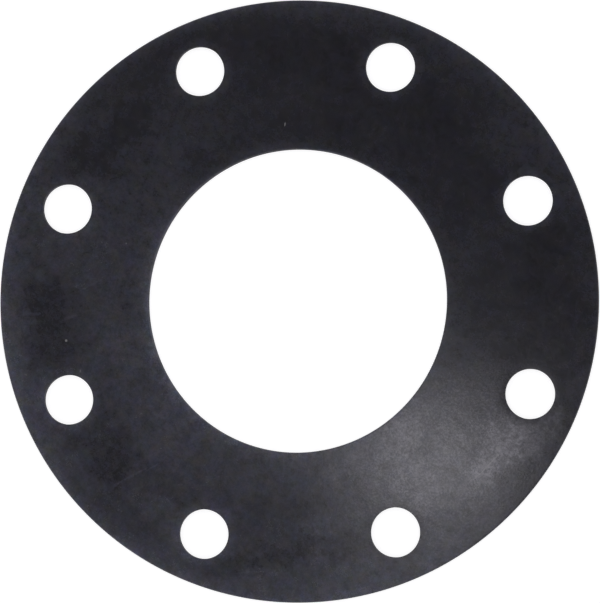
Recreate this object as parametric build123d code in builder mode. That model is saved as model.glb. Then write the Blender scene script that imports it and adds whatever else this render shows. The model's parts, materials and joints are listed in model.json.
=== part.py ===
from build123d import *
import os

# Full-face gasket for a bolted pipe flange: one flat ring of rubber sheet. It reaches the rim of
# the flange, so it covers the whole face and the flange bolts pass through it.
#
# The origin is the centre of the bore on the underside. +Z points up through the sheet, to the
# face where the cutting die goes in. X and Y are the centrelines of the flange, and the bolt
# holes straddle both. Sizes are in millimetres.

# Outline
OUTSIDE_DIAMETER = 228.6  # the rim of the flange
BORE_DIAMETER = 114.3  # the outside of the pipe
BOLT_HOLE_DIAMETER = 19.05
BOLT_EDGE_DISTANCE = 19.05  # from the rim in to the centre of each bolt hole
BOLT_COUNT = 8

# Section
SHEET_THICKNESS = 3.175
CUT_LIP_RADIUS = 0.4  # how far the sheet rolls over beside a steel rule

BOLT_CIRCLE_RADIUS = OUTSIDE_DIAMETER / 2 - BOLT_EDGE_DISTANCE
HALF_PITCH_ANGLE = 180 / BOLT_COUNT  # turns the first bolt hole off the X centreline


with BuildPart() as flange_gasket:
    # The blank: two steel rules, bent to circles, cut the rim and the bore in one stroke.
    with BuildSketch(Plane.XY) as blank_outline:
        Circle(OUTSIDE_DIAMETER / 2)
        Circle(BORE_DIAMETER / 2, mode=Mode.SUBTRACT)
    extrude(amount=SHEET_THICKNESS)

    # Rubber dips under a rule before it parts, so both of these cuts have a rolled lip on the
    # face where the rule goes in. The face where it comes out keeps its sharp edges.
    entry_face = flange_gasket.faces().sort_by(Axis.Z)[-1]
    fillet(entry_face.edges(), radius=CUT_LIP_RADIUS)

    # Bolt holes: tubular punches part the sheet cleanly, so these edges are sharp on both faces.
    with Locations((0, 0, SHEET_THICKNESS)):
        with PolarLocations(BOLT_CIRCLE_RADIUS, BOLT_COUNT, start_angle=HALF_PITCH_ANGLE):
            Hole(BOLT_HOLE_DIAMETER / 2)

flange_gasket.part.label = "flange_gasket"

os.makedirs("parts", exist_ok=True)
export_step(flange_gasket.part, "parts/flange_gasket.step")
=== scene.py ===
"""Rubber full-face flange gasket: the die-cut sheet with its finish, and the studio that it lies in.

Everything is in metres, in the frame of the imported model: the origin is the centre of the bore on the
underside of the sheet, and +Z points up to the face where the cutting die went in.
"""

import json
import math

import bmesh
import bpy
import numpy as np
from bpy.props import FloatProperty, FloatVectorProperty, PointerProperty
from mathutils import Matrix, Vector


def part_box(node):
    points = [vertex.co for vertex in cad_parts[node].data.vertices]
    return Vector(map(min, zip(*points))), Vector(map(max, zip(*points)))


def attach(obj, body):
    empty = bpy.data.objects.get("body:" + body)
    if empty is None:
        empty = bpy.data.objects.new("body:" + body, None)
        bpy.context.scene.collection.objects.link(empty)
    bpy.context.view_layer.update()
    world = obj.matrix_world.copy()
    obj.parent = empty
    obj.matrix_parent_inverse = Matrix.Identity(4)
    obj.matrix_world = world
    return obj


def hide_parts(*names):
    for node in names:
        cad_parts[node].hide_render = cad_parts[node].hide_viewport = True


bl_info = {
    "name": "Flange Gasket",
    "version": (1, 0, 0),
    "blender": (4, 5, 0),
    "location": "3D Viewport > Sidebar > Gasket",
    "description": "Makes a full-face flange gasket of black sheet rubber, and a plain white studio",
    "category": "Object",
}

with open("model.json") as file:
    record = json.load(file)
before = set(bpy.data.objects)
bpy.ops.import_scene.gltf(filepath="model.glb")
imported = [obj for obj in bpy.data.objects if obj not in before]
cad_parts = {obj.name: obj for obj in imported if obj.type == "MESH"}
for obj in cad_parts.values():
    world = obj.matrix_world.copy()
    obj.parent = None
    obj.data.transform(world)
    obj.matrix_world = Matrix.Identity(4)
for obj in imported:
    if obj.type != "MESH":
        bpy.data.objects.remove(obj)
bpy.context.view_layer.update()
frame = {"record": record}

NODE = "flange_gasket"
SHEET_NAME = "gasket_sheet"
MM = 0.001

MOUNTS = {mount["name"]: mount for mount in frame["record"]["mounts"]}
LOW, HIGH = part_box(NODE)
SHEET_THICKNESS = HIGH.z
RIM_RADIUS = min(-LOW.x, HIGH.x, -LOW.y, HIGH.y)
BORE_RADIUS = MOUNTS["bore"]["dims"]["r_mm"] * MM
BOLT_CIRCLE_RADIUS = MOUNTS["bolt_circle"]["dims"]["pcd_mm"] / 2 * MM
BOLT_HOLE_RADIUS = MOUNTS["bolt_circle"]["dims"]["hole_r_mm"] * MM
BOLT_COUNT = MOUNTS["bolt_circle"]["dims"]["count"]
LIP_RADIUS = SHEET_THICKNESS - MOUNTS["bore"]["dims"]["length_mm"] * MM
HALF_PITCH = math.pi / BOLT_COUNT

# The upper face swells in slow waves, and rolls down over ROLL_REACH beside the holes and the bore.
SWELL_SEED = 4
SWELL_LENGTHS = np.array([130.0, 95.0, 70.0, 55.0]) * MM
ROLL_REACH = 1.5 * MM
BORE_ROLL_SHARE = 1 / 4

# Steps of the mesh on a sector's rim arc, side and bore arc, and from a bolt hole out to them on each
# face, then points of a cut's section on its lip, wall and lower edge. Points that meet are welded.
SECTOR_STEPS = (80, 52, 40)
ROWS_ABOVE = 24
ROWS_BELOW = 6
LIP_POINTS = 7
WALL_POINTS = 6
LOWER_EDGE_POINTS = 4
WELD_DISTANCE = 0.002 * MM


# ---------------------------------------------------------------- settings


class GasketShape(bpy.types.PropertyGroup):
    lip_radius: FloatProperty(
        name="Lip radius",
        description="How far the sheet rolls over at the rim and the bore, on the face the die entered",
        default=LIP_RADIUS,
        min=0.00005,
        precision=5,
        unit="LENGTH",
    )
    edge_break: FloatProperty(
        name="Edge break",
        description="Tiny rounding of the edges that the die leaves sharp",
        default=0.08 * MM,
        min=0.00001,
        precision=5,
        unit="LENGTH",
    )
    wall_dish: FloatProperty(
        name="Wall dish",
        description="How far a cut wall is hollow half way down, where the rubber sprang back",
        default=0.1 * MM,
        min=0.0,
        precision=5,
        unit="LENGTH",
    )
    sheet_swell: FloatProperty(
        name="Sheet swell",
        description="Depth of the slow swells that calendering leaves in the upper face",
        default=0.05 * MM,
        min=0.0,
        precision=5,
        unit="LENGTH",
    )
    edge_roll: FloatProperty(
        name="Edge roll",
        description="How far the upper face bows down beside a bolt hole, and a quarter of it at the bore",
        default=0.06 * MM,
        min=0.0,
        precision=5,
        unit="LENGTH",
    )
    hole_spring: FloatProperty(
        name="Hole spring",
        description="How much smaller than the punch a bolt hole closes, on its radius",
        default=0.1 * MM,
        min=0.0,
        precision=5,
        unit="LENGTH",
    )
    bore_slack: FloatProperty(
        name="Bore slack",
        description="How much wider than cut the soft bore lies, on its radius",
        default=0.13 * MM,
        precision=5,
        unit="LENGTH",
    )
    bore_oval: FloatProperty(
        name="Bore oval",
        description="How far the bore lies out of round, on its radius",
        default=0.3 * MM,
        precision=5,
        unit="LENGTH",
    )
    oval_angle: FloatProperty(
        name="Oval direction",
        description="Direction of the long axis of the oval, from +X towards +Y",
        default=math.radians(76),
        unit="ROTATION",
    )


class RubberFinish(bpy.types.PropertyGroup):
    clean_colour: FloatVectorProperty(
        name="Clean rubber",
        description="Colour of rubber that handling has rubbed clean",
        default=(0.0044, 0.0039, 0.0060),
        size=3,
        min=0.0,
        max=1.0,
        precision=4,
        subtype="COLOR",
    )
    haze_colour: FloatVectorProperty(
        name="Haze",
        description="Colour of rubber under the thickest of the bluish haze that ageing brings to its face",
        default=(0.0488, 0.0502, 0.0630),
        size=3,
        min=0.0,
        max=1.0,
        precision=4,
        subtype="COLOR",
    )
    # Also paints part of the lamp's highlight at the lower right, where the dusting lies.
    dust_and_highlight_colour: FloatVectorProperty(
        name="Dust",
        description="Colour of the dry dusting in the thickest blotches",
        default=(0.110, 0.107, 0.118),
        size=3,
        min=0.0,
        max=1.0,
        precision=4,
        subtype="COLOR",
    )
    clean_roughness: FloatProperty(
        name="Clean roughness",
        description="Roughness of clean rubber",
        default=0.236,
        min=0.0,
        max=1.0,
        subtype="FACTOR",
    )
    haze_roughness: FloatProperty(
        name="Haze roughness",
        description="Roughness where the haze is thick",
        default=0.265,
        min=0.0,
        max=1.0,
        subtype="FACTOR",
    )
    cut_roughness: FloatProperty(
        name="Cut roughness",
        description="Roughness of the walls where the die tore through the sheet",
        default=0.9,
        min=0.0,
        max=1.0,
        subtype="FACTOR",
    )
    grain_height: FloatProperty(
        name="Grain height",
        description="Height of the fine grain pressed into the sheet",
        default=0.004 * MM,
        min=0.0,
        precision=6,
        unit="LENGTH",
    )


class StudioSettings(bpy.types.PropertyGroup):
    camera_distance: FloatProperty(
        name="Camera distance",
        description="From the camera to the point that it looks at",
        default=1.652,
        min=0.1,
        unit="LENGTH",
    )
    camera_tilt: FloatProperty(
        name="Camera tilt",
        description="How far the camera leans away from straight above",
        default=math.radians(7.42),
        unit="ROTATION",
    )
    camera_side: FloatProperty(
        name="Camera side",
        description="Direction in which the camera leans, from +X towards +Y",
        default=math.radians(-19.5),
        unit="ROTATION",
    )
    camera_roll: FloatProperty(
        name="Camera roll",
        description="Turn of the camera about its own line of sight",
        default=math.radians(-0.57),
        unit="ROTATION",
    )
    camera_lens: FloatProperty(
        name="Focal length",
        description="Focal length in millimetres, on a 36 mm sensor",
        default=259.77,
        min=10.0,
    )
    key_radiance: FloatProperty(
        name="Key lamp",
        description="Radiance of the small lamp whose blurred reflection lights one side of the sheet",
        default=14.9,
        min=0.0,
    )
    room_light: FloatProperty(
        name="Room",
        description="Radiance of the pale walls and ceiling all round",
        default=1.0,
        min=0.0,
    )
    overhead_share: FloatProperty(
        name="Overhead",
        description="Light of the dark patch of ceiling straight above, as a share of the room's",
        default=0.1,
        min=0.0,
        subtype="FACTOR",
    )
    horizon_share: FloatProperty(
        name="Horizon",
        description="Light of the walls near the floor, as a share of the room's",
        default=0.3,
        min=0.0,
        subtype="FACTOR",
    )


# ---------------------------------------------------------------- surfaces


def sector_outline(rim, bore, counts):
    """Outline of one bolt hole's sector as (radius, angle from the sector's middle).

    Rim arc from -half pitch to +half pitch, straight down that side, bore arc back, and straight up
    the other side. counts are the steps on a rim arc, a side and a bore arc.
    """
    rim_steps, side_steps, bore_steps = counts
    on_rim = np.linspace(-HALF_PITCH, HALF_PITCH, rim_steps, endpoint=False)
    down = np.linspace(rim, bore, side_steps, endpoint=False)
    on_bore = np.linspace(HALF_PITCH, -HALF_PITCH, bore_steps, endpoint=False)
    up = np.linspace(bore, rim, side_steps, endpoint=False)
    radius = np.concatenate([np.full(rim_steps, rim), down, np.full(bore_steps, bore), up])
    angle = np.concatenate(
        [on_rim, np.full(side_steps, HALF_PITCH), on_bore, np.full(side_steps, -HALF_PITCH)]
    )
    return radius, angle


def hole_angles(counts):
    """Directions round a bolt hole, one for each point of the sector's outline.

    They are even between the directions of the outline's four corners, seen from the hole's centre.
    """
    rim_steps, side_steps, bore_steps = counts
    reach, spread = RIM_RADIUS * math.cos(HALF_PITCH), RIM_RADIUS * math.sin(HALF_PITCH)
    rim_corner = math.atan2(spread, reach - BOLT_CIRCLE_RADIUS)
    reach, spread = BORE_RADIUS * math.cos(HALF_PITCH), BORE_RADIUS * math.sin(HALF_PITCH)
    bore_corner = math.atan2(spread, reach - BOLT_CIRCLE_RADIUS)
    corners = [-rim_corner, rim_corner, bore_corner, 2 * math.pi - bore_corner, 2 * math.pi - rim_corner]
    steps = [rim_steps, side_steps, bore_steps, side_steps]
    return np.concatenate(
        [np.linspace(a, b, n, endpoint=False) for a, b, n in zip(corners, corners[1:], steps)]
    )


def sector_middles():
    """Directions of the bolt holes, which straddle the X and Y centrelines."""
    return HALF_PITCH + np.arange(BOLT_COUNT) * 2 * HALF_PITCH


def face_grid(rim, bore, hole, height, counts, rows):
    """One flat face of the sheet, as a (sector, round the hole, hole to outline) grid of points.

    A point is (1 - s) of the way from a circle round the bolt hole to the sector's outline, with
    s = (1 - cos(pi t)) / 2, which packs the rows close to the cut edges.
    """
    radius, angle = sector_outline(rim, bore, counts)
    round_hole = hole_angles(counts)
    share = (1 - np.cos(np.linspace(0, math.pi, rows + 1))) / 2
    along = (1 - share) * (BOLT_CIRCLE_RADIUS + hole * np.cos(round_hole))[:, None]
    along = along + share * (radius * np.cos(angle))[:, None]
    across = (1 - share) * (hole * np.sin(round_hole))[:, None] + share * (radius * np.sin(angle))[:, None]
    middle = sector_middles()[:, None, None]
    x = along * np.cos(middle) - across * np.sin(middle)
    y = along * np.sin(middle) + across * np.cos(middle)
    return np.stack([x, y, np.full_like(x, height)], axis=-1)


def cut_profile(top_round, bottom_round, dish):
    """Section of a cut edge as (depth in from the cut line, height), from the upper face down.

    A quarter circle rolls over from the upper face, a wall follows that is hollow by
    dish * sin(pi h) at the share h of its height, and a small quarter circle ends it underneath.
    """
    turn = np.linspace(0, math.pi / 2, LIP_POINTS)
    upper = np.stack([top_round * (1 - np.sin(turn)), SHEET_THICKNESS - top_round * (1 - np.cos(turn))], 1)
    share = np.linspace(0, 1, WALL_POINTS + 2)[1:-1]
    wall_top, wall_bottom = SHEET_THICKNESS - top_round, bottom_round
    wall = np.stack([dish * np.sin(math.pi * share), wall_top + (wall_bottom - wall_top) * share], 1)
    turn = np.linspace(0, math.pi / 2, LOWER_EDGE_POINTS)
    lower = np.stack([bottom_round * (1 - np.cos(turn)), bottom_round * (1 - np.sin(turn))], 1)
    return np.concatenate([upper, wall, lower])


def circle_wall(radius, inward, angles, profile):
    """A cut profile carried round a circle about the bore's axis: an (angle, profile) grid of points.

    The radius of a point is the circle's, less the profile's depth on the rim (inward = 1) and
    more by it on a hole (inward = -1).
    """
    r = radius - inward * profile[None, :, 0] + 0 * angles[:, None]
    z = profile[None, :, 1] + 0 * angles[:, None]
    return np.stack([r * np.cos(angles)[:, None], r * np.sin(angles)[:, None], z], axis=-1)


def grid_faces(start, rows, columns, wrap):
    """Corner numbers of the quads of a grid of points, numbered row by row from start.

    With wrap, the last row joins the first.
    """
    row = np.arange(rows if wrap else rows - 1)[:, None]
    column = np.arange(columns - 1)[None, :]
    a = row * columns + column
    b = ((row + 1) % rows) * columns + column
    return start + np.stack([a, b, b + 1, a + 1], axis=-1).reshape(-1, 4)


def swell_depth(x, y, depth):
    """Depth of the slow swells at (x, y): the mean of four sine waves, raised so that it is never under 0.

    The waves run in different directions, 55 to 130 mm long, and each gives (1 + sin(k . p + phase)) / 2.
    """
    rng = np.random.default_rng(SWELL_SEED)
    headings = rng.uniform(0, math.pi, len(SWELL_LENGTHS))
    phases = rng.uniform(0, 2 * math.pi, len(SWELL_LENGTHS))
    run = x[:, None] * np.cos(headings) + y[:, None] * np.sin(headings)
    return depth * ((1 + np.sin(2 * math.pi * run / SWELL_LENGTHS + phases)) / 2).mean(1)


def hole_margin(x, y):
    """Distance from (x, y) to the edge of the nearest bolt hole."""
    r = np.hypot(x, y)
    folded = (np.arctan2(y, x) % (2 * HALF_PITCH)) - HALF_PITCH
    to_centre = np.hypot(r * np.cos(folded) - BOLT_CIRCLE_RADIUS, r * np.sin(folded))
    return np.clip(to_centre - BOLT_HOLE_RADIUS, 0, None)


def lay_slack(points, shape):
    """Moves points as the soft ring lies: the upper face swells and rolls, and the bore lies wide and oval.

    Height is scaled by 1 - (swell + roll) / thickness, so that the underside stays flat, and the roll is
    the edge roll * (exp(-to hole / reach) + exp(-to bore / reach) / 4). The radius grows by (slack +
    oval * cos(2 (angle - oval angle))) * w^2, where w runs from 1 at the bore to 0 at the rim.
    """
    x, y, z = points.T
    r, angle = np.hypot(x, y), np.arctan2(y, x)
    near_hole = np.exp(-hole_margin(x, y) / ROLL_REACH)
    near_bore = np.exp(-np.clip(r - BORE_RADIUS, 0, None) / ROLL_REACH)
    roll = shape.edge_roll * (near_hole + near_bore * BORE_ROLL_SHARE)
    drop = swell_depth(x, y, shape.sheet_swell) + roll
    z = z * (1 - drop / SHEET_THICKNESS)
    w = (RIM_RADIUS - r) / (RIM_RADIUS - BORE_RADIUS)
    grown = r + w**2 * (shape.bore_slack + shape.bore_oval * np.cos(2 * (angle - shape.oval_angle)))
    return np.stack([grown * np.cos(angle), grown * np.sin(angle), z], axis=1)


def sheet_mesh(shape):
    """The whole gasket as one closed mesh: two faces, and walls at the rim, the bore and each bolt hole."""
    rim_steps, _, bore_steps = SECTOR_STEPS
    lip, sharp = shape.lip_radius, shape.edge_break
    hole = BOLT_HOLE_RADIUS - shape.hole_spring
    rolled = RIM_RADIUS - lip, BORE_RADIUS + lip, hole + sharp
    above = face_grid(*rolled, SHEET_THICKNESS, SECTOR_STEPS, ROWS_ABOVE)
    broken = RIM_RADIUS - sharp, BORE_RADIUS + sharp, hole + sharp
    below = face_grid(*broken, 0, SECTOR_STEPS, ROWS_BELOW)
    ruled = cut_profile(lip, sharp, shape.wall_dish)
    punched = cut_profile(sharp, sharp, shape.wall_dish)

    rim_angles = np.arange(BOLT_COUNT * rim_steps) * 2 * HALF_PITCH / rim_steps
    bore_angles = np.arange(BOLT_COUNT * bore_steps) * 2 * HALF_PITCH / bore_steps
    grids = [circle_wall(RIM_RADIUS, 1, rim_angles, ruled), circle_wall(BORE_RADIUS, -1, bore_angles, ruled)]
    for middle in sector_middles():
        wall = circle_wall(hole, -1, hole_angles(SECTOR_STEPS) + middle, punched)
        centre = BOLT_CIRCLE_RADIUS * np.array([math.cos(middle), math.sin(middle), 0])
        grids.append(wall + centre)
    grids += list(above) + list(below)

    points, faces, start = [], [], 0
    for grid in grids:
        rows, columns = grid.shape[:2]
        points.append(grid.reshape(-1, 3))
        faces.append(grid_faces(start, rows, columns, wrap=True))
        start += rows * columns
    points = lay_slack(np.concatenate(points), shape)

    mesh = bpy.data.meshes.new(SHEET_NAME)
    mesh.from_pydata(points.tolist(), [], np.concatenate(faces).tolist())
    work = bmesh.new()
    work.from_mesh(mesh)
    bmesh.ops.remove_doubles(work, verts=work.verts, dist=WELD_DISTANCE)
    bmesh.ops.recalc_face_normals(work, faces=work.faces)
    if any(not edge.is_manifold for edge in work.edges):
        raise RuntimeError("the gasket's mesh isn't closed")
    work.to_mesh(mesh)
    work.free()

    place = np.empty(len(mesh.vertices) * 3)
    mesh.vertices.foreach_get("co", place)
    x, y, _ = place.reshape(-1, 3).T
    mesh.attributes.new("hole_margin", "FLOAT", "POINT").data.foreach_set("value", hole_margin(x, y))
    mesh.shade_smooth()
    return mesh


# ---------------------------------------------------------------- materials


class NodeBench:
    """Short ways to add nodes to one tree. A value is a number, a tuple or another node's output."""

    def __init__(self, tree):
        self.tree = tree
        tree.nodes.clear()

    def put(self, socket, value):
        """Sets a socket, or links another node's output to it."""
        if isinstance(value, bpy.types.NodeSocket):
            self.tree.links.new(value, socket)
        else:
            socket.default_value = value

    def add(self, kind, inputs=(), **settings):
        """Adds a node, with its settings, and its inputs by name or number."""
        node = self.tree.nodes.new(kind)
        for name, value in settings.items():
            setattr(node, name, value)
        for name, value in dict(inputs).items():
            self.put(node.inputs[name], value)
        return node

    def math(self, operation, *values, clamp=False):
        """Result of a Math node."""
        inputs = dict(enumerate(values))
        return self.add("ShaderNodeMath", inputs, operation=operation, use_clamp=clamp).outputs[0]

    def vector(self, operation, *values):
        """Result of a Vector Math node, as a vector."""
        return self.add("ShaderNodeVectorMath", dict(enumerate(values)), operation=operation).outputs[0]

    def measure(self, operation, *values):
        """Result of a Vector Math node, as a number."""
        node = self.add("ShaderNodeVectorMath", dict(enumerate(values)), operation=operation)
        return node.outputs["Value"]

    def scale(self, vector, factor):
        """A vector or a colour times a number."""
        return self.add("ShaderNodeVectorMath", {0: vector, "Scale": factor}, operation="SCALE").outputs[0]

    def ramp(self, value, low, high, to_low=0.0, to_high=1.0, smooth=True):
        """value from low..high to to_low..to_high, held at the ends."""
        kind = "SMOOTHSTEP" if smooth else "LINEAR"
        spans = {"Value": value, "From Min": low, "From Max": high, "To Min": to_low, "To Max": to_high}
        return self.add("ShaderNodeMapRange", spans, interpolation_type=kind).outputs["Result"]

    def noise(self, place, size, detail, roughness):
        """Noise whose coarsest lumps are about size wide, as its (value, colour) outputs."""
        look = {"Scale": 1 / size, "Detail": detail, "Roughness": roughness, "Lacunarity": LACUNARITY}
        return self.add("ShaderNodeTexNoise", {"Vector": place, **look}).outputs

    def blend(self, share, first, second):
        """Colour that goes from first to second as share goes from 0 to 1.

        A Mix node's colour sockets are taken by number, because its kinds of data share their names.
        """
        node = self.add("ShaderNodeMix", data_type="RGBA", clamp_factor=True)
        self.put(node.inputs["Factor"], share)
        self.put(node.inputs[6], first)
        self.put(node.inputs[7], second)
        return node.outputs[2]


# Marks on the upper face: centre and half sizes in mm, the direction in degrees of the first half
# size, and the strength. Handling has rubbed the haze off in some places, and left more in others.
RUBBED_MARKS = {
    "left_flank": ((-96, -3), (17, 8), 94, 0.95),
    "left_flank_foot": ((-93, -17), (10, 8), 0, 0.85),
    "upper_left": ((-78, 57), (12, 9), 30, 0.95),
    "upper_left_tip": ((-64, 69), (13, 8), 55, 0.85),
    "lower_left": ((-73, -59), (18, 11), 110, 0.9),
    "lower_left_tail": ((-50, -70), (26, 6), -12, 0.45),
    "foot_band": ((-6, -95), (29, 5), 11, 0.85),
    "foot_centre": ((-7, -83), (18, 9), 15, 0.6),
    "beside_bore": ((-28, 57), (17, 4), 27, 0.6),
    "above_bore": ((14, 62), (30, 7), -12, 0.35),
    "above_right_hole": ((86, -20), (13, 8), 0, 0.9),
    "top_band": ((2, 97), (34, 8), -5, 0.3),
    "top_right": ((62, 77), (14, 10), 130, 0.25),
    "right_flank": ((90, 12), (15, 8), 75, 0.8),
    "right_flank_foot": ((96, -14), (24, 14), 85, 0.75),
    "by_lower_right_rim": ((85, -69), (15, 6), 50, 0.6),
    "bore_to_blotch": ((60, -47), (13, 6), 50, 0.5),
    "right_side": ((80, 2), (44, 24), 90, 0.35),
    "lower_left_rim": ((-70, -79), (20, 9), -40, 0.6),
    "upper_left_rim": ((-60, 90), (26, 7), 33, 0.6),
}
HAZED_MARKS = {
    "right_of_bore": ((72, 24), (13, 10), 60, 0.13),
    "upper_right_rim": ((88, 57), (19, 11), 155, 0.3),
    "right_shoulder": ((103, 42), (15, 7), 112, 0.2),
    "left_of_bore": ((-62, -17), (12, 8), 110, 0.12),
    "below_left_bore": ((-47, -48), (14, 8), -42, 0.14),
    "above_left_bore": ((-48, 53), (12, 8), 50, 0.05),
    "foot": ((32, -106), (30, 11), 17, 0.38),
    "foot_island": ((6, -86), (8, 5), 20, 0.3),
    "foot_blob": ((16, -97), (10, 8), 20, 0.3),
    "left_rim": ((-106, -24), (20, 7), 98, 0.22),
    "top_rim": ((20, 107), (36, 9), -12, 0.17),
    "upper_right_arc": ((66, 86), (32, 13), -40, 0.2),
    "right_rim": ((110, 16), (40, 8), 83, 0.07),
}
# Faint light lines, where something has dragged over the sheet.
SCUFFS = {
    "long": ((-65, -66.3), (8.0, 0.4), 27, 0.24),
    "long_tail": ((-56, -62.5), (3.0, 0.35), 30, 0.22),
    "beside_long": ((-62, -70.5), (4.0, 0.3), 18, 0.15),
    "left_wedge": ((-88, -5.3), (3.6, 0.6), 17, 0.2),
    "left_line": ((-79.5, 7), (6.0, 0.35), 25, 0.15),
    "left_dash": ((-101.5, -3.5), (3.4, 0.7), 0, 0.18),
    "foot_line": ((-19.5, -102.6), (6.5, 0.35), 4, 0.16),
}
# Dry dusting lies in blotches at the lower right, with a fine sprinkle round them. Both lie in the
# lamp's highlight and also paint part of it: its brighter blotches and its fine grain.
DUST_AND_HIGHLIGHT_MARKS = {
    "ridge": ((77, -58.5), (14, 6), 43, 1.0),
    "ridge_side": ((81, -53), (15, 10), 40, 0.55),
    "ridge_end": ((89, -48), (11, 5), 20, 0.4),
    "bore_side": ((38, -50), (10, 7), 50, 0.55),
    "under_bore": ((24, -60), (16, 6), 15, 0.25),
    "low_blotch": ((47, -70), (9, 7), 100, 0.45),
}
SPRINKLE_AND_HIGHLIGHT_MARKS = {"lower_right": ((54, -62), (35, 25), 40, 1.0)}
# Light specks, and scratches with the spots beside them.
SPECKS = {
    "dot": ((-88.8, -13.9), (0.45, 0.45), 0, 1.0),
    "nick": ((-3.9, 67.1), (0.75, 0.25), 80, 0.75),
    "grit_above": ((-65.3, 22.8), (0.3, 0.3), 0, 0.4),
    "grit_below": ((-83.4, -25.6), (0.5, 0.25), 80, 0.4),
    "scratch": ((72.2, -62.9), (5.2, 0.24), 46, 0.6),
    "short_scratch": ((67.8, -67.2), (3.0, 0.2), 40, 0.3),
    "ridge_spot": ((75.8, -56.7), (0.9, 0.7), 0, 0.5),
    "scratch_head": ((75.5, -59.3), (0.55, 0.55), 0, 0.55),
}
# Where the edges get no haze and painted glare, which hole margins get painted shade that darkens the
# highlight, and where the shading takes back most of the slope that the roll gives the mesh, so that the
# margin looks flatter than it is.
MARGIN_GAP = {"lower_right": ((78, -66), (48, 28), 50, 1.0)}
SHADED_HOLE_MARGINS = {
    "lower_hole": ((37, -88), (30, 30), 0, 1.0),
    "right_hole": ((88, -36), (30, 30), 0, 1.0),
}
LEVEL_MARGIN = {"lower_hole": ((37, -88), (30, 30), 0, 0.8)}

# A mark fades from 1 - outline to 1 + outline of its size. It is an ellipsoid with its centre on the
# upper face, and its depth goes into the thickness more often than 1 + SOFT_OUTLINE, so that no mark
# comes through to the underside.
SOFT_OUTLINE = 0.6
CRISP_OUTLINE = 0.35
DEPTHS_IN_SHEET = 1.7
MARK_DEPTH = SHEET_THICKNESS / MM / DEPTHS_IN_SHEET

# Noises: size in mm of the coarsest lumps, octaves of detail, and how rough the detail is.
NOISES = {
    "stirring": (12, 6.0, 0.72),
    "haze_patches": (32, 2.0, 0.6),
    "wear_grain": (2.4, 3.0, 0.9),
    "dust_and_highlight_clumps": (4.5, 3.0, 0.9),
    "dust_and_highlight_grit": (0.8, 1.5, 0.9),
    "mottling": (4.2, 3.3, 1.0),
    "tint": (5.5, 2.0, 0.9),
    "fine_gloss": (2.6, 3.0, 1.0),
    "slow_gloss": (22.0, 2.0, 0.8),
    "grain": (0.8, 2.0, 0.6),
    "ripples": (6.0, 4.0, 0.5),
}
LACUNARITY = 2.2
# How the noises' copy of the sheet is shifted in mm and turned, and how far in mm outlines are torn.
NOISE_SHIFT = (13.7, -41.3, 7.9)
NOISE_TURN = tuple(math.radians(angle) for angle in (28, 19, 37))
STIRRED_REACH = (34, 34, 0)

# Ramps: the two ends of what is measured, and the values there. Distances are in mm.
RAMPS = {
    "haze_by_slope": (-95, 100, 0.05, 0.58),
    "wear_by_grain": (0.30, 0.62, 1.0, 0.55),
    "scuffs_by_grain": (0.35, 0.60, 0.5, 1.0),
    "rim_haze_and_glare_by_side": (110, -110, 0.14, 0.52),
    "rim_haze_and_glare_by_crown": (60, 105, 0.0, 0.28),
    "bore_haze_and_glare_by_slope": (-15, 40, 0.28, 0.82),
    "painted_lip_highlight_by_slope": (-49, -54, 0.0, 1.0),
    "painted_lip_highlight_by_margin": (1.4, 0.7, 0.0, 0.7),
    "hole_haze_and_glare_by_margin": (4.5, 0.0, 0.0, 0.22),
    "hole_shade_by_margin": (4.5, 0.5, 0.0, 1.0),
    "dust_and_highlight_by_clumps": (0.34, 0.62, 0.3, 1.0),
    "sprinkle_and_highlight_by_grit": (0.36, 0.64, -0.18, 0.44),
    "mottling_by_slope": (50, 85, 1.0, 0.82),
    "wall_by_height": (0.0, 0.1, 0.0, 1.0),
}
# Depths below the upper face between which a cut wall turns torn and dull.
WALL_DEPTHS = (0.12, 0.30)
# Directions in which the haze grows thicker, and from the bore to where the rim has extra haze
# and painted glare.
HAZE_SLOPE = (-0.585, -0.81, 0)
RIM_CROWN = (0.34, 0.94, 0)
# Distance in mm over which the haze and painted glare beside the rim and the bore fall to 1 / e.
EDGE_HAZE_AND_GLARE_REACH = 2.4

# Shares and strengths of the layers.
HAZE_PATCHINESS = 0.6
HAZED_MARK_SHARE = 0.7
HOLE_SHADE_SHARE = 0.47
DUST_AND_HIGHLIGHT_SHARE = 0.9
MOTTLING_SPREAD = 2.5
MOTTLING_CAP = 0.64
TINT_SPREAD = (0.65, 0.2, 1.15)
TINT_LEAST = (0.67, 0.9, 0.43)
FINE_GLOSS_SPREAD = 0.44
SLOW_GLOSS_SPREAD = 0.45
GRAIN_SHARE = 3.0
RIPPLE_SHARE = 10.0
SPECK_COLOUR = (0.15, 0.15, 0.15, 1.0)
RUBBER_IOR = 1.5


def mark(bench, place, centre, half_sizes, degrees, outline):
    """An oval mark on the upper face: 1 in its middle, and falling to 0 over its outline."""
    mapping = bench.add("ShaderNodeMapping", {"Vector": place}, vector_type="TEXTURE")
    mapping.inputs["Location"].default_value = (*centre, SHEET_THICKNESS / MM)
    mapping.inputs["Rotation"].default_value = (0, 0, math.radians(degrees))
    mapping.inputs["Scale"].default_value = (*half_sizes, MARK_DEPTH)
    away = bench.measure("LENGTH", mapping.outputs[0])
    return bench.ramp(away, 1 + outline, 1 - outline)


def marks(bench, place, table, outline=SOFT_OUTLINE):
    """The strongest of a table's marks at each place."""
    total = 0.0
    for centre, half_sizes, degrees, strength in table.values():
        one = mark(bench, place, centre, half_sizes, degrees, outline)
        total = bench.math("MAXIMUM", total, bench.math("MULTIPLY", one, strength))
    return total


def spread(bench, noise, amount):
    """Noise of mean 0.5 as a factor of mean 1, which goes amount * 0.5 either way at its ends."""
    return bench.math("MULTIPLY_ADD", noise, amount, 1 - amount / 2)


def fade(bench, distance, reach):
    """exp(-distance / reach)."""
    return bench.math("POWER", math.exp(-1 / reach), distance)


def opaque(colour):
    """A colour setting as red, green, blue and alpha."""
    return (*colour, 1.0)


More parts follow.
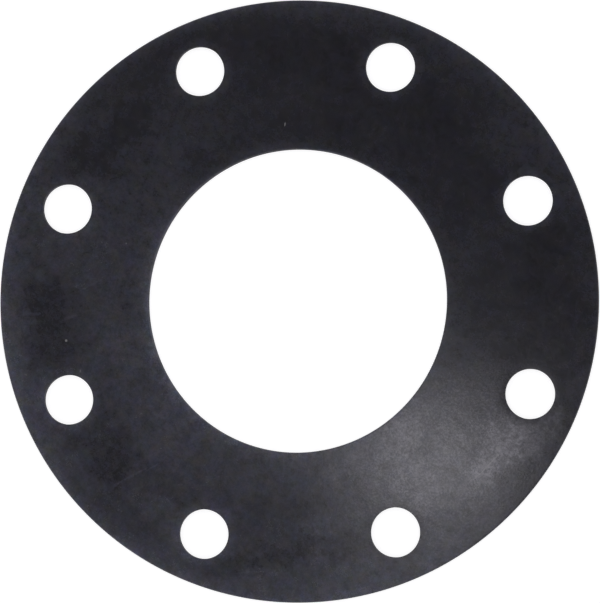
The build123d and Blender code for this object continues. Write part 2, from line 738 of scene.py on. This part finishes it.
class SheetPlaces:
    """Where a point of the sheet is, in mm, as node outputs that the layers of the finish share."""

    def __init__(self, bench):
        self.point = bench.scale(bench.add("ShaderNodeTexCoord").outputs["Object"], 1 / MM)
        parts = bench.add("ShaderNodeSeparateXYZ", {0: self.point}).outputs
        self.across = parts["X"]
        self.height = parts["Z"]
        self.slope = bench.measure("DOT_PRODUCT", self.point, HAZE_SLOPE)
        self.crown = bench.measure("DOT_PRODUCT", self.point, RIM_CROWN)

        radius = bench.measure("LENGTH", bench.vector("MULTIPLY", self.point, (1, 1, 0)))
        self.beside_bore = bench.math("SUBTRACT", radius, BORE_RADIUS / MM)
        self.beside_rim = bench.math("SUBTRACT", RIM_RADIUS / MM, radius)
        margin = bench.add("ShaderNodeAttribute", attribute_name="hole_margin").outputs["Fac"]
        self.beside_hole = bench.math("DIVIDE", margin, MM)

        # Noise is read from a turned and shifted copy, and torn outlines from a copy that noise stirs.
        askew = bench.add("ShaderNodeMapping", {"Vector": self.point})
        askew.inputs["Location"].default_value = NOISE_SHIFT
        askew.inputs["Rotation"].default_value = NOISE_TURN
        self.askew = askew.outputs[0]
        stir = bench.noise(self.askew, *NOISES["stirring"])[1]
        stir = bench.vector("SUBTRACT", stir, (0.5, 0.5, 0.5))
        self.stirred = bench.vector("MULTIPLY_ADD", stir, STIRRED_REACH, self.point)


def face_haze(bench, sheet):
    """Haze on the faces: thicker towards the lower left, patchy, rubbed off in marks, and scuffed."""
    patches = bench.noise(sheet.askew, *NOISES["haze_patches"])[0]
    haze = bench.ramp(sheet.slope, *RAMPS["haze_by_slope"], smooth=False)
    haze = bench.math("MULTIPLY", haze, spread(bench, patches, HAZE_PATCHINESS))
    thicker = marks(bench, sheet.stirred, HAZED_MARKS)
    haze = bench.math("ADD", haze, bench.math("MULTIPLY", thicker, HAZED_MARK_SHARE))

    grain = bench.noise(sheet.askew, *NOISES["wear_grain"])[0]
    rubbed = marks(bench, sheet.stirred, RUBBED_MARKS)
    rubbed = bench.math("MULTIPLY", rubbed, bench.ramp(grain, *RAMPS["wear_by_grain"]))
    haze = bench.math("MULTIPLY", haze, bench.math("MULTIPLY_ADD", rubbed, -1.0, 1.0))

    scuffs = marks(bench, sheet.point, SCUFFS, CRISP_OUTLINE)
    scuffs = bench.math("MULTIPLY", scuffs, bench.ramp(grain, *RAMPS["scuffs_by_grain"]))
    return bench.math("ADD", haze, scuffs)


def edge_haze_and_glare(bench, sheet):
    """Haze and painted glare by the rim, bore and bolt holes, and a painted highlight at one side of the
    bore's lip.
    """
    at_rim = bench.ramp(sheet.across, *RAMPS["rim_haze_and_glare_by_side"], smooth=False)
    at_rim = bench.math("ADD", at_rim, bench.ramp(sheet.crown, *RAMPS["rim_haze_and_glare_by_crown"]))
    at_rim = bench.math("MULTIPLY", at_rim, fade(bench, sheet.beside_rim, EDGE_HAZE_AND_GLARE_REACH))

    at_bore = bench.ramp(sheet.slope, *RAMPS["bore_haze_and_glare_by_slope"])
    at_bore = bench.math("MULTIPLY", at_bore, fade(bench, sheet.beside_bore, EDGE_HAZE_AND_GLARE_REACH))
    # Painted highlight: the bore's lip is paler along its upper right side.
    painted_lip_highlight = bench.ramp(sheet.slope, *RAMPS["painted_lip_highlight_by_slope"])
    by_margin = bench.ramp(sheet.beside_bore, *RAMPS["painted_lip_highlight_by_margin"])
    at_bore = bench.math("MAXIMUM", at_bore, bench.math("MULTIPLY", painted_lip_highlight, by_margin))

    at_hole = bench.ramp(sheet.beside_hole, *RAMPS["hole_haze_and_glare_by_margin"])
    haze = bench.math("MAXIMUM", bench.math("MAXIMUM", at_rim, at_bore), at_hole)
    gap = marks(bench, sheet.point, MARGIN_GAP)
    return bench.math("MULTIPLY", haze, bench.math("SUBTRACT", 1.0, gap))


def unshaded_share(bench, sheet):
    """Share of the haze and the dusting that is kept: less beside the lower right holes, as painted shade.
    """
    near_hole = bench.ramp(sheet.beside_hole, *RAMPS["hole_shade_by_margin"])
    hole_shade = bench.math("MULTIPLY", near_hole, marks(bench, sheet.point, SHADED_HOLE_MARGINS))
    return bench.math("MULTIPLY_ADD", hole_shade, -HOLE_SHADE_SHARE, 1.0)


def face_dust_and_highlight(bench, sheet):
    """Dusting and painted highlight: dry blotches that noise breaks up, and a finer sprinkle."""
    clumps = bench.noise(sheet.askew, *NOISES["dust_and_highlight_clumps"])[0]
    blotches = marks(bench, sheet.stirred, DUST_AND_HIGHLIGHT_MARKS)
    dust_and_highlight = bench.math("MULTIPLY", blotches, bench.ramp(clumps, *RAMPS["dust_and_highlight_by_clumps"]))
    grit = bench.ramp(bench.noise(sheet.askew, *NOISES["dust_and_highlight_grit"])[0], *RAMPS["sprinkle_and_highlight_by_grit"])
    return bench.math("MULTIPLY_ADD", grit, marks(bench, sheet.point, SPRINKLE_AND_HIGHLIGHT_MARKS), dust_and_highlight)


def rubber_colour(bench, sheet, finish, haze, dust_and_highlight):
    """Clean rubber under haze tinted in spots, then dusting and painted highlight, then mottling, then
    specks.

    The mottling goes from 4 mm down to single grains, and is calmer towards the lower left rim.
    """
    tint = bench.noise(sheet.askew, *NOISES["tint"])[1]
    colour = bench.blend(haze, opaque(finish.clean_colour), opaque(finish.haze_colour))
    colour = bench.vector("MULTIPLY", colour, bench.vector("MULTIPLY_ADD", tint, TINT_SPREAD, TINT_LEAST))
    colour = bench.blend(bench.math("MULTIPLY", dust_and_highlight, DUST_AND_HIGHLIGHT_SHARE), colour, opaque(finish.dust_and_highlight_colour))

    mottling = bench.math("MINIMUM", bench.noise(sheet.askew, *NOISES["mottling"])[0], MOTTLING_CAP)
    unevenness = bench.math("SUBTRACT", spread(bench, mottling, MOTTLING_SPREAD), 1.0)
    calmer = bench.ramp(sheet.slope, *RAMPS["mottling_by_slope"])
    colour = bench.scale(colour, bench.math("MULTIPLY_ADD", unevenness, calmer, 1.0))
    return bench.blend(marks(bench, sheet.point, SPECKS, CRISP_OUTLINE), colour, SPECK_COLOUR)


def rubber_roughness(bench, sheet, finish, haze):
    """Roughness of the faces, duller under haze and mottled, and of the cut walls, torn and dull."""
    fine = spread(bench, bench.noise(sheet.askew, *NOISES["fine_gloss"])[0], FINE_GLOSS_SPREAD)
    slow = spread(bench, bench.noise(sheet.askew, *NOISES["slow_gloss"])[0], SLOW_GLOSS_SPREAD)
    face = bench.ramp(haze, 0.0, 1.0, finish.clean_roughness, finish.haze_roughness, smooth=False)
    face = bench.math("MULTIPLY", face, bench.math("MULTIPLY", fine, slow))

    from_top = bench.ramp(sheet.height, *(SHEET_THICKNESS / MM - depth for depth in WALL_DEPTHS))
    on_wall = bench.math("MULTIPLY", from_top, bench.ramp(sheet.height, *RAMPS["wall_by_height"]))
    return bench.math("MULTIPLY_ADD", bench.math("SUBTRACT", finish.cut_roughness, face), on_wall, face)


def rubber_relief(bench, sheet, finish, edge_roll):
    """Normal of the fine relief, in mm of height: grain under a millimetre wide on slower ripples.

    In LEVEL_MARGIN it also adds back that share of the roll that lay_slack takes from the upper face.
    """
    grain = bench.noise(sheet.askew, *NOISES["grain"])[0]
    ripples = bench.noise(sheet.askew, *NOISES["ripples"])[0]
    relief = bench.math("MULTIPLY_ADD", ripples, RIPPLE_SHARE, bench.math("MULTIPLY", grain, GRAIN_SHARE))
    relief = bench.math("MULTIPLY", relief, finish.grain_height / MM)

    rolled = fade(bench, sheet.beside_hole, ROLL_REACH / MM)
    filled = bench.math("MULTIPLY", rolled, marks(bench, sheet.point, LEVEL_MARGIN))
    relief = bench.math("MULTIPLY_ADD", filled, edge_roll / MM, relief)
    return bench.add("ShaderNodeBump", {"Height": relief, "Strength": 1.0, "Distance": MM}).outputs["Normal"]


def rubber_material(finish, edge_roll):
    """Black rubber: clean where rubbed, bluish haze elsewhere, dusting and painted highlight, scuffs,
    specks, grain.
    """
    material = bpy.data.materials.new("black_sheet_rubber")
    material.use_nodes = True
    bench = NodeBench(material.node_tree)
    sheet = SheetPlaces(bench)

    # Painted shade: the haze and the dusting are thinner beside the two holes in the lamp's highlight.
    unshaded = unshaded_share(bench, sheet)
    # The edge term adds painted glare as well as haze.
    haze = bench.math("ADD", face_haze(bench, sheet), edge_haze_and_glare(bench, sheet), clamp=True)
    haze = bench.math("MULTIPLY", haze, unshaded)
    # The dusting also paints part of the lamp's highlight.
    dust_and_highlight = bench.math("MULTIPLY", face_dust_and_highlight(bench, sheet), unshaded)

    inputs = {
        "Base Color": rubber_colour(bench, sheet, finish, haze, dust_and_highlight),
        "Roughness": rubber_roughness(bench, sheet, finish, haze),
        "Normal": rubber_relief(bench, sheet, finish, edge_roll),
        "IOR": RUBBER_IOR,
    }
    skin = bench.add("ShaderNodeBsdfPrincipled", inputs)
    out = bench.add("ShaderNodeOutputMaterial")
    bench.put(out.inputs["Surface"], skin.outputs[0])
    return material


# ---------------------------------------------------------------- studio


# The floor in metres and its colours: plain for light that bounces, shaded and aglow when looked at.
FLOOR_REACH = 12.0
FLOOR_PLAIN = (0.8, 0.8, 0.8, 1)
FLOOR_SHADED = (0.35, 0.35, 0.35, 1)
FLOOR_GLOW = 0.80

# The room's light, and the sines of the elevations between which it changes overhead and low down.
ROOM_COLOUR = (0.99, 0.975, 1.03, 1.0)
OVERHEAD_EDGE = (0.97, 0.90)
HORIZON_EDGE = (0.05, 0.45)

# The lamp's two widths and its place in metres, its turn about the vertical, and its colour.
KEY_WIDTHS = (0.0515, 0.0309)
KEY_PLACE = (0.0199, -0.0599, 0.350)
KEY_TURN = math.radians(-7)
KEY_COLOUR = (1.0, 0.982, 1.038)

# The point that the camera looks at and the distances between which it sees, in metres.
CAMERA_AIM = (0.0008, -0.0002, 0)
CAMERA_NEAR = 0.05
CAMERA_FAR = 30.0
SENSOR_WIDTH_MM = 36.0


def floor_material():
    """White floor. It shows the camera and every gloss a white ground that keeps the object's shadow."""
    material = bpy.data.materials.new("white_floor")
    material.use_nodes = True
    bench = NodeBench(material.node_tree)
    rays = bench.add("ShaderNodeLightPath").outputs
    seen = bench.math("MAXIMUM", rays["Is Camera Ray"], rays["Is Glossy Ray"])
    seen = bench.math("MAXIMUM", seen, rays["Is Transmission Ray"])
    plain = bench.add("ShaderNodeBsdfDiffuse", {"Color": FLOOR_PLAIN}).outputs[0]
    shaded = bench.add("ShaderNodeBsdfDiffuse", {"Color": FLOOR_SHADED}).outputs[0]
    glow = bench.add("ShaderNodeEmission", {"Color": (1, 1, 1, 1), "Strength": FLOOR_GLOW}).outputs[0]
    ground = bench.add("ShaderNodeAddShader", {0: shaded, 1: glow}).outputs[0]
    mixed = bench.add("ShaderNodeMixShader", {0: seen, 1: plain, 2: ground}).outputs[0]
    out = bench.add("ShaderNodeOutputMaterial")
    bench.put(out.inputs["Surface"], mixed)
    return material


def lay_floor():
    """A wide flat floor that the sheet lies on."""
    mesh = bpy.data.meshes.new("floor")
    signs = ((-1, -1), (1, -1), (1, 1), (-1, 1))
    corners = [(x * FLOOR_REACH, y * FLOOR_REACH, 0) for x, y in signs]
    mesh.from_pydata(corners, [], [(0, 1, 2, 3)])
    mesh.materials.append(floor_material())
    floor = bpy.data.objects.new("floor", mesh)
    bpy.context.scene.collection.objects.link(floor)


def light_room(studio):
    """The world: a pale room, with a dark patch straight above and dimmer walls near the floor."""
    world = bpy.data.worlds.new("studio_room")
    world.use_nodes = True
    bench = NodeBench(world.node_tree)
    direction = bench.add("ShaderNodeTexCoord").outputs["Generated"]
    up = bench.add("ShaderNodeSeparateXYZ", {"Vector": direction}).outputs["Z"]
    ceiling = bench.ramp(up, *OVERHEAD_EDGE, studio.overhead_share, 1.0)
    walls = bench.ramp(up, *HORIZON_EDGE, studio.horizon_share, 1.0)
    strength = bench.math("MULTIPLY", bench.math("MULTIPLY", ceiling, walls), studio.room_light)
    glow = bench.add("ShaderNodeBackground", {"Color": ROOM_COLOUR, "Strength": strength})
    out = bench.add("ShaderNodeOutputWorld")
    bench.put(out.inputs["Surface"], glow.outputs[0])
    world.cycles.sampling_method = "NONE"
    bpy.context.scene.world = world


def hang_lamp(studio):
    """One small oval lamp over the sheet, which points straight down. Its power is radiance * pi * area."""
    light = bpy.data.lights.new("key_lamp", "AREA")
    light.shape = "ELLIPSE"
    light.size, light.size_y = KEY_WIDTHS
    light.energy = studio.key_radiance * math.pi * (light.size * light.size_y * math.pi / 4)
    light.color = KEY_COLOUR
    lamp = bpy.data.objects.new("key_lamp", light)
    lamp.location = KEY_PLACE
    lamp.rotation_euler = (0, 0, KEY_TURN)
    lamp.visible_camera = False
    bpy.context.scene.collection.objects.link(lamp)


def place_camera(studio):
    """A camera that looks down at the sheet, leaning and turned as the settings say."""
    lean, side = studio.camera_tilt, studio.camera_side
    back = Vector((math.sin(lean) * math.cos(side), math.sin(lean) * math.sin(side), math.cos(lean)))
    up = Vector((0, 1, 0)) - back * back.y
    up.normalize()
    right = up.cross(back)
    turn = Matrix((right, up, back)).transposed() @ Matrix.Rotation(studio.camera_roll, 3, "Z")
    data = bpy.data.cameras.new("camera")
    data.lens, data.sensor_width = studio.camera_lens, SENSOR_WIDTH_MM
    data.clip_start, data.clip_end = CAMERA_NEAR, CAMERA_FAR
    camera = bpy.data.objects.new("camera", data)
    place = Vector(CAMERA_AIM) + back * studio.camera_distance
    camera.matrix_world = Matrix.Translation(place) @ turn.to_4x4()
    bpy.context.scene.collection.objects.link(camera)
    bpy.context.scene.camera = camera


# ---------------------------------------------------------------- operators and panel


class GASKET_OT_make_sheet(bpy.types.Operator):
    """Make the die-cut gasket sheet with its rubber finish"""

    bl_idname = "gasket.make_sheet"
    bl_label = "Make Gasket Sheet"

    def execute(self, context):
        shape = context.scene.gasket_shape
        mesh = sheet_mesh(shape)
        mesh.materials.append(rubber_material(context.scene.rubber_finish, shape.edge_roll))
        sheet = bpy.data.objects.new(SHEET_NAME, mesh)
        context.scene.collection.objects.link(sheet)
        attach(sheet, "root")
        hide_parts(NODE)
        return {"FINISHED"}


class GASKET_OT_set_stage(bpy.types.Operator):
    """Set up the floor, the room, the lamp and the camera"""

    bl_idname = "gasket.set_stage"
    bl_label = "Set Stage"

    def execute(self, context):
        studio = context.scene.gasket_studio
        context.scene.view_settings.view_transform = "Standard"
        lay_floor()
        light_room(studio)
        hang_lamp(studio)
        place_camera(studio)
        return {"FINISHED"}


class GASKET_PT_tools(bpy.types.Panel):
    """Sizes, finish and studio of the gasket, with a button for each step"""

    bl_idname = "GASKET_PT_tools"
    bl_label = "Flange Gasket"
    bl_space_type = "VIEW_3D"
    bl_region_type = "UI"
    bl_category = "Gasket"

    def draw(self, context):
        for operator, settings in (
            (GASKET_OT_make_sheet, (context.scene.gasket_shape, context.scene.rubber_finish)),
            (GASKET_OT_set_stage, (context.scene.gasket_studio,)),
        ):
            box = self.layout.box()
            box.operator(operator.bl_idname)
            for group in settings:
                for name in group.__annotations__:
                    box.prop(group, name)


GROUPS = {
    "gasket_shape": GasketShape,
    "rubber_finish": RubberFinish,
    "gasket_studio": StudioSettings,
}
CLASSES = (*GROUPS.values(), GASKET_OT_make_sheet, GASKET_OT_set_stage, GASKET_PT_tools)


def register():
    """Adds the settings, the operators and the panel to Blender."""
    for item in CLASSES:
        bpy.utils.register_class(item)
    for name, group in GROUPS.items():
        setattr(bpy.types.Scene, name, PointerProperty(type=group))


def unregister():
    """Takes them out again."""
    for name in GROUPS:
        delattr(bpy.types.Scene, name)
    for item in reversed(CLASSES):
        bpy.utils.unregister_class(item)


def main():
    """Makes the sheet and its stage."""
    register()
    bpy.ops.gasket.make_sheet()
    bpy.ops.gasket.set_stage()


if __name__ == "__main__":
    main()
